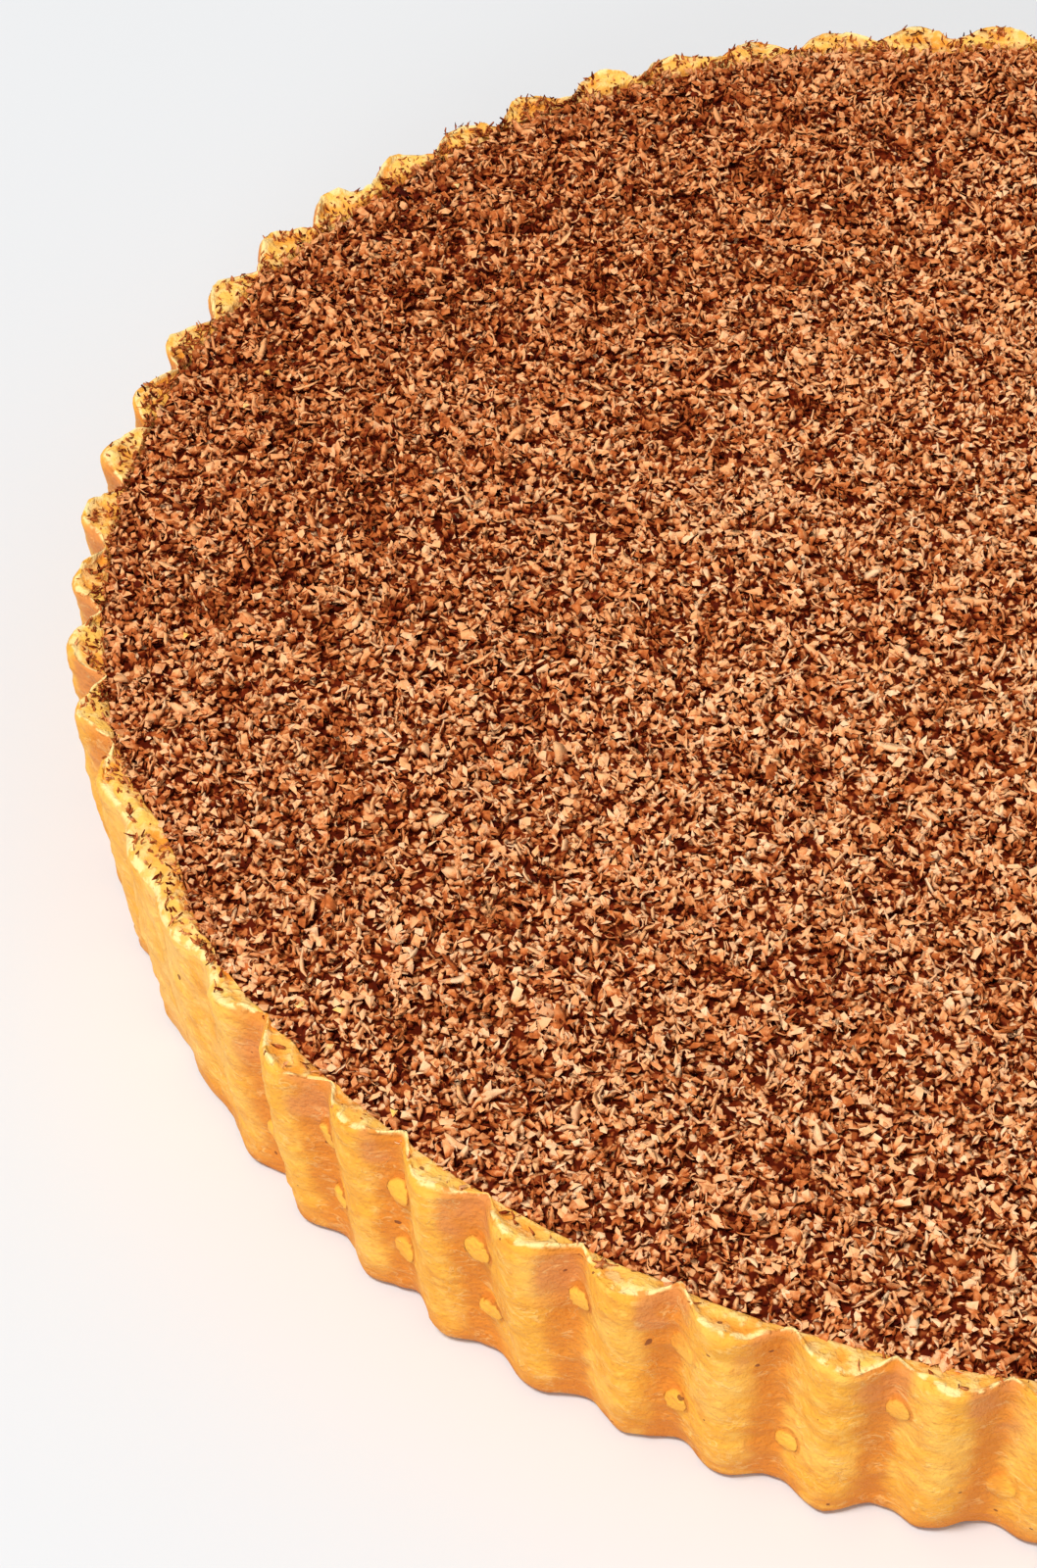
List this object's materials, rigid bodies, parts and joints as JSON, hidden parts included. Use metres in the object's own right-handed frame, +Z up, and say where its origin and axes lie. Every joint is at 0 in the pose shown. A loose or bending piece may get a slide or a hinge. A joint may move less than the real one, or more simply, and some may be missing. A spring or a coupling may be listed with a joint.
{
  "type": "chocolate tart",
  "caption": "Round uncut chocolate tart: fluted golden pastry case with a slightly uneven rim, topped all over with grated chocolate.",
  "frame": {"origin": "middle of the flat underside, on the surface the tart stands on", "axes": "+Z up through the tart, X and Y across it; the round case has no front, and the side away from +Y is the one seen first"},
  "size_m": [0.252, 0.2532, 0.0325],
  "materials": {
    "pastry": "dry baked shortcrust, golden with browner flutes and lip, matt with a faint butter sheen",
    "chocolate": "finely grated milk chocolate, matt tan faces with dark brown gaps"
  },
  "bodies": {
    "root": {"pastry_case": "pastry", "grated_chocolate": "chocolate"}
  },
  "joints": []
}
